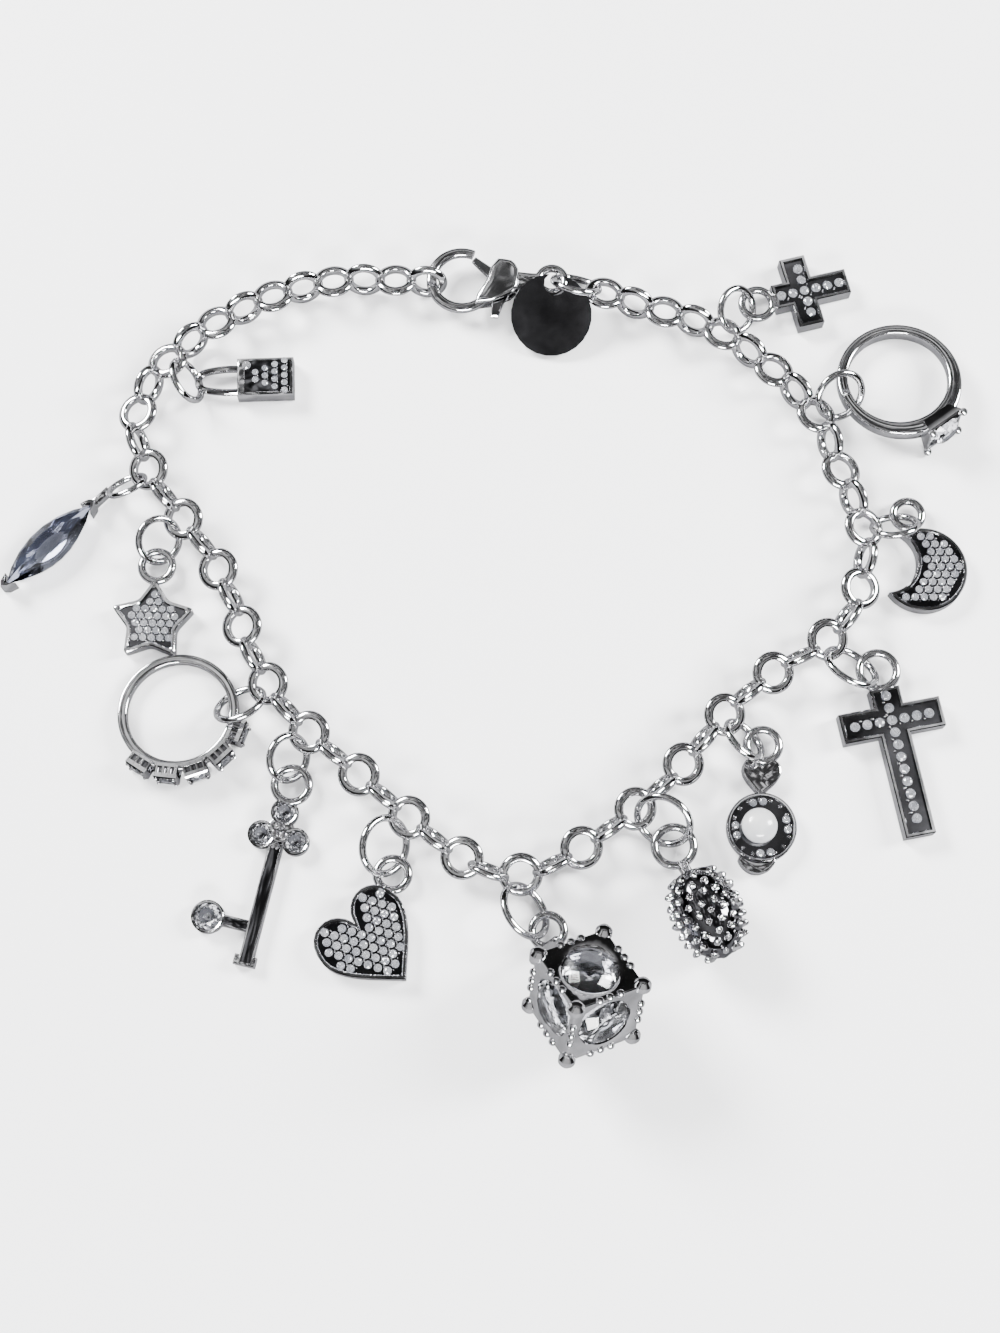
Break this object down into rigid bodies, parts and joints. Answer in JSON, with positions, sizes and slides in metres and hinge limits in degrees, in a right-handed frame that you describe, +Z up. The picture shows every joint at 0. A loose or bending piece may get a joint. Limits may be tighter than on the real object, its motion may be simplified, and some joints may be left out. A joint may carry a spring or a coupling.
{
  "type": "charm bracelet",
  "caption": "Silver charm bracelet of round links with a lobster clasp, a plain round tag and small charms on jump rings, lying in a loop.",
  "frame": {"origin": "middle of the footprint on the table", "axes": "+X to the right of the loop, +Y from the lowest charm towards the clasp, +Z up from the table"},
  "size_m": [0.0982, 0.085, 0.0135],
  "materials": {
    "silver": "polished",
    "clear_glass": "polished",
    "smoky_glass": "polished",
    "pearl": "satin"
  },
  "bodies": {
    "bracelet": {"chain_left": "silver", "chain_right": "silver", "clasp_body": "silver", "end_ring": "silver", "tag_disc": "silver", "padlock": "silver", "marquise_setting": "silver", "marquise_stone": "smoky_glass", "star": "silver", "row_ring": "silver", "row_stone_1": "clear_glass", "row_stone_2": "clear_glass", "row_stone_3": "clear_glass", "row_stone_4": "clear_glass", "row_stone_5": "clear_glass", "key": "silver", "key_stone_1": "clear_glass", "key_stone_2": "clear_glass", "key_stone_3": "clear_glass", "key_stone_4": "clear_glass", "heart": "silver", "cube": "silver", "cube_stone_1": "clear_glass", "cube_stone_2": "clear_glass", "cube_stone_3": "clear_glass", "cube_stone_4": "clear_glass", "cube_stone_5": "clear_glass", "cube_stone_6": "clear_glass", "cone": "silver", "pearl_drop": "silver", "pearl": "pearl", "cross_large": "silver", "moon": "silver", "solitaire_ring": "silver", "solitaire_stone": "clear_glass", "cross_small": "silver", "jump_ring_padlock": "silver", "jump_ring_star": "silver", "jump_ring_row_ring": "silver", "jump_ring_key": "silver", "jump_ring_heart": "silver", "jump_ring_cube": "silver", "jump_ring_cone": "silver", "jump_ring_pearl_drop": "silver", "jump_ring_cross_large": "silver", "jump_ring_moon": "silver", "jump_ring_solitaire_ring": "silver", "jump_ring_cross_small": "silver"},
    "clasp_lever": {"clasp_lever": "silver"}
  },
  "joints": [
    {"name": "clasp_lever_hinge", "type": "hinge", "parent": "bracelet", "child": "clasp_lever", "pos_m": [0.00176, 0.03864, 0.00175], "axis": [0, 0, 1], "range_deg": [0, 15], "stiffness_Nm_per_rad": 0.002, "springref_deg": -11.46}
  ]
}
